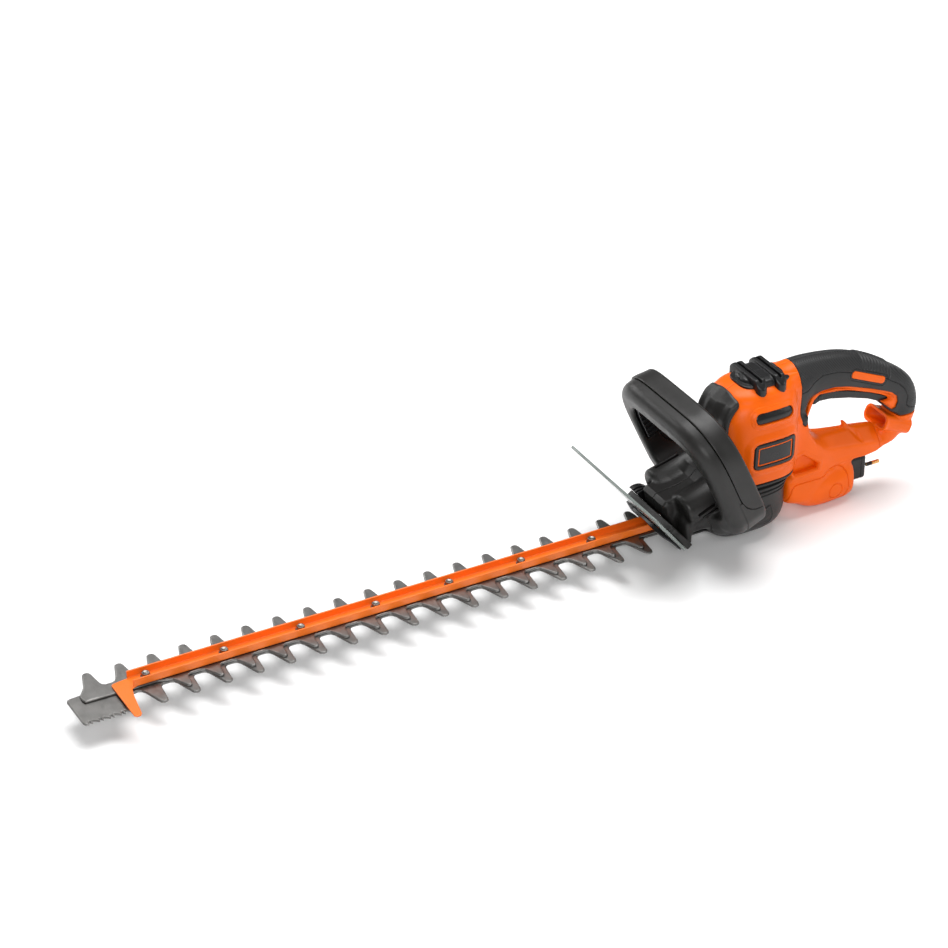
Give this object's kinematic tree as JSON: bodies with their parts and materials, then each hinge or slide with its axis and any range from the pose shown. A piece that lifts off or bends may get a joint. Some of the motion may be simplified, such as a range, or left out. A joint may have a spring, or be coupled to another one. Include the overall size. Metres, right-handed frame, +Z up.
{
  "type": "hedge trimmer",
  "caption": "Corded hedge trimmer: dual-action toothed blades on a channel bar, saw tip, hand guard, loop front handle with switch bar, motor housing, D-shaped rear handle with trigger.",
  "frame": {"origin": "on the motor's vertical axis, at the flat underside of the gear case", "axes": "+X towards the rear handle, -X towards the blade tip, +Y to the left side, +Z up from the blades to the grips"},
  "size_m": [0.9212, 0.17, 0.1726],
  "materials": {
    "orange_plastic": "satin orange moulded ABS",
    "orange_paint": "orange powder coat on steel sheet",
    "charcoal_plastic": "satin charcoal glass-filled nylon",
    "black_plastic": "satin black plastic",
    "grip_rubber": "soft charcoal overmould with a fine grain",
    "blade_steel": "laser-cut and ground blade steel",
    "bolt_steel": "zinc-plated steel",
    "gear_steel": "machined steel",
    "core_steel": "stacked laminations",
    "copper": "copper segments",
    "carbon": "pressed carbon",
    "guard_clear": "smoked clear polycarbonate",
    "pin_brass": "plain brass"
  },
  "bodies": {
    "body": {"support_bar": "orange_paint", "blade_bolt_1": "bolt_steel", "blade_bolt_2": "bolt_steel", "blade_bolt_3": "bolt_steel", "blade_bolt_4": "bolt_steel", "blade_bolt_5": "bolt_steel", "blade_bolt_6": "bolt_steel", "blade_bolt_7": "bolt_steel", "gear_axle": "gear_steel", "lower_bearing": "gear_steel", "upper_bearing": "gear_steel", "stator": "core_steel", "brush_front": "carbon", "brush_rear": "carbon", "housing_left": "orange_plastic", "housing_right": "orange_plastic", "rear_corner_left": "orange_plastic", "rear_corner_right": "orange_plastic", "grip_inset_left": "orange_plastic", "grip_inset_right": "orange_plastic", "grip_left": "grip_rubber", "grip_right": "grip_rubber", "slot_insert_left": "black_plastic", "slot_insert_right": "black_plastic", "badge_left": "black_plastic", "badge_right": "black_plastic", "vent_cap_left": "black_plastic", "vent_cap_right": "black_plastic", "front_cover": "charcoal_plastic", "gasket": "black_plastic", "gear_case_left": "charcoal_plastic", "gear_case_right": "charcoal_plastic", "bottom_lid": "charcoal_plastic", "loop_front_shell": "charcoal_plastic", "loop_rear_shell": "charcoal_plastic", "nose_flange": "black_plastic", "nose_back_plate": "black_plastic", "hand_guard": "guard_clear", "guard_clip": "black_plastic", "trigger_spring": "bolt_steel", "rear_switch": "black_plastic", "front_switch": "black_plastic", "plug_body": "black_plastic", "plug_pin_left": "pin_brass", "plug_pin_right": "pin_brass", "housing_screw_1": "bolt_steel", "housing_screw_2": "bolt_steel", "housing_screw_3": "bolt_steel", "case_screw": "bolt_steel"},
    "upper_blade": {"upper_blade": "blade_steel"},
    "lower_blade": {"lower_blade": "blade_steel"},
    "rotor": {"motor_shaft": "gear_steel", "armature": "core_steel", "commutator": "copper", "fan": "black_plastic", "pinion": "gear_steel"},
    "crank": {"crank_gear": "gear_steel"},
    "trigger": {"trigger": "black_plastic"},
    "front_bar": {"switch_bar": "black_plastic", "bar_spring": "bolt_steel"}
  },
  "joints": [
    {"name": "upper_blade_slide", "type": "slide", "parent": "body", "child": "upper_blade", "axis": [1, 0, 0], "range_m": [-0.006, 0.006]},
    {"name": "lower_blade_slide", "type": "slide", "parent": "body", "child": "lower_blade", "axis": [1, 0, 0], "range_m": [-0.006, 0.006]},
    {"name": "rotor_spin", "type": "hinge", "parent": "body", "child": "rotor", "pos_m": [0, 0, 0.1], "axis": [0, 0, 1], "continuous": true},
    {"name": "crank_spin", "type": "hinge", "parent": "body", "child": "crank", "pos_m": [-0.03375, 0, 0.03], "axis": [0, 0, 1], "continuous": true},
    {"name": "trigger_squeeze", "type": "hinge", "parent": "body", "child": "trigger", "pos_m": [0.076, 0, 0.12], "axis": [0, -1, 0], "range_deg": [0, 4], "stiffness_Nm_per_rad": 3, "springref_deg": -5.73, "deforming": ["trigger_spring"]},
    {"name": "switch_bar_squeeze", "type": "slide", "parent": "body", "child": "front_bar", "axis": [-0.4147, 0, 0.91], "range_m": [0, 0.004], "stiffness_N_per_m": 2000, "springref_m": -0.003}
  ],
  "couplings": [
    {"joint": "lower_blade_slide", "follows": "upper_blade_slide", "ratio": -1},
    {"joint": "crank_spin", "follows": "rotor_spin", "ratio": -0.17391}
  ]
}
